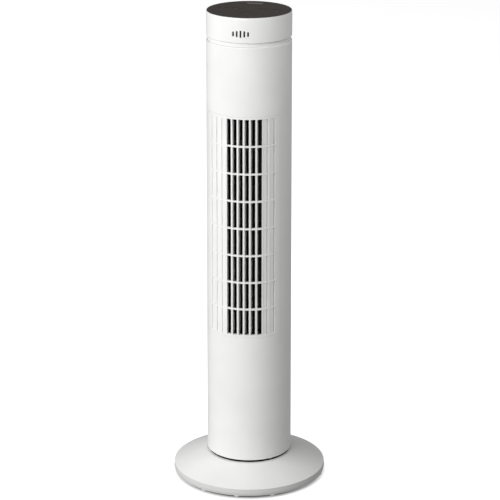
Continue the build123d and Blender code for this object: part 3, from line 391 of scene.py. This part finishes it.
# ---------------------------------------------------------------- floor, lights and camera
def add_floor():
    """A wide pale floor that fills the view, with a painted shadow under the base."""
    mesh = bpy.data.meshes.new("floor")
    builder = bmesh.new()
    bmesh.ops.create_grid(builder, x_segments=1, y_segments=1, size=FLOOR_HALF_WIDTH)
    builder.to_mesh(mesh)
    builder.free()
    floor = bpy.data.objects.new("floor", mesh)
    bpy.context.scene.collection.objects.link(floor)
    material, nodes, links, shader = new_material("pale_floor")
    vector = object_space(nodes, links)
    drift = noise(nodes, links, vector, 3.0)
    # painted shadow: the floor's colour darkens and its glow stops under the base, standing in for the shade
    # there
    reach = nodes.new("ShaderNodeVectorMath")
    reach.operation = "LENGTH"
    links.new(vector, reach.inputs[0])
    shade = nodes.new("ShaderNodeVectorMath")
    shade.operation = "SCALE"
    links.new(tint(nodes, links, drift, (0.90, 0.90, 0.90), (0.93, 0.93, 0.93)), shade.inputs[0])
    distance = reach.outputs["Value"]
    links.new(remap(nodes, links, distance, PAINTED_SHADOW_SHARE, 1.0, *PAINTED_SHADOW_EDGE), shade.inputs["Scale"])
    links.new(shade.outputs["Vector"], shader.inputs["Base Color"])
    shader.inputs["Roughness"].default_value = 0.9
    shader.inputs["Specular IOR Level"].default_value = 0.0
    shader.inputs["Emission Color"].default_value = (1, 1, 1, 1)
    glow = remap(nodes, links, distance, 0.0, FLOOR_GLOW, *PAINTED_SHADOW_EDGE)
    links.new(glow, shader.inputs["Emission Strength"])
    dress(floor, material)
    # the floor is seen and takes shadows, while the world alone lights the fan from below
    floor.visible_diffuse = False
    floor.visible_glossy = False


def aim(obj, target):
    """Turns an object's -Z axis towards a point."""
    obj.rotation_euler = (Vector(target) - obj.location).to_track_quat("-Z", "Y").to_euler()


def add_area_light(name, azimuth, elevation, distance, size, power, target):
    """Square softbox that faces its target."""
    light = bpy.data.lights.new(name, "AREA")
    light.shape = "SQUARE"
    light.size = size
    light.energy = power
    obj = bpy.data.objects.new(name, light)
    bpy.context.scene.collection.objects.link(obj)
    angle = CAMERA_AZIMUTH + math.radians(azimuth)
    level = distance * math.cos(math.radians(elevation))
    obj.location = (
        target[0] + level * math.sin(angle),
        target[1] - level * math.cos(angle),
        target[2] + distance * math.sin(math.radians(elevation)),
    )
    aim(obj, target)


def add_world():
    """Even light from above the horizon, and stronger light from below it, as a pale floor sends back."""
    world = bpy.data.worlds.new("studio")
    world.use_nodes = True
    nodes, links = world.node_tree.nodes, world.node_tree.links
    background = nodes["Background"]
    background.inputs["Color"].default_value = (1, 1, 1, 1)
    coordinates = nodes.new("ShaderNodeTexCoord")
    parts = nodes.new("ShaderNodeSeparateXYZ")
    links.new(coordinates.outputs["Generated"], parts.inputs["Vector"])
    strength = remap(nodes, links, parts.outputs["Z"], GROUND_STRENGTH, SKY_STRENGTH, -HORIZON, HORIZON)
    links.new(strength, background.inputs["Strength"])
    bpy.context.scene.world = world


def add_camera():
    camera = bpy.data.cameras.new("camera")
    camera.sensor_width = CAMERA_SENSOR
    camera.lens = CAMERA_LENS
    camera.shift_x = CAMERA_SHIFT_X
    camera.clip_end = CAMERA_FAR
    obj = bpy.data.objects.new("camera", camera)
    bpy.context.scene.collection.objects.link(obj)
    obj.location = (
        CAMERA_DISTANCE * math.sin(CAMERA_AZIMUTH),
        -CAMERA_DISTANCE * math.cos(CAMERA_AZIMUTH),
        CAMERA_HEIGHT,
    )
    obj.rotation_euler = (math.pi / 2 - CAMERA_TILT, 0, CAMERA_AZIMUTH)
    bpy.context.scene.camera = obj


add_floor()
add_world()
for light_name, light_values in LIGHTS.items():
    add_area_light(light_name, *light_values)
add_camera()
bpy.context.scene.view_settings.view_transform = "Standard"
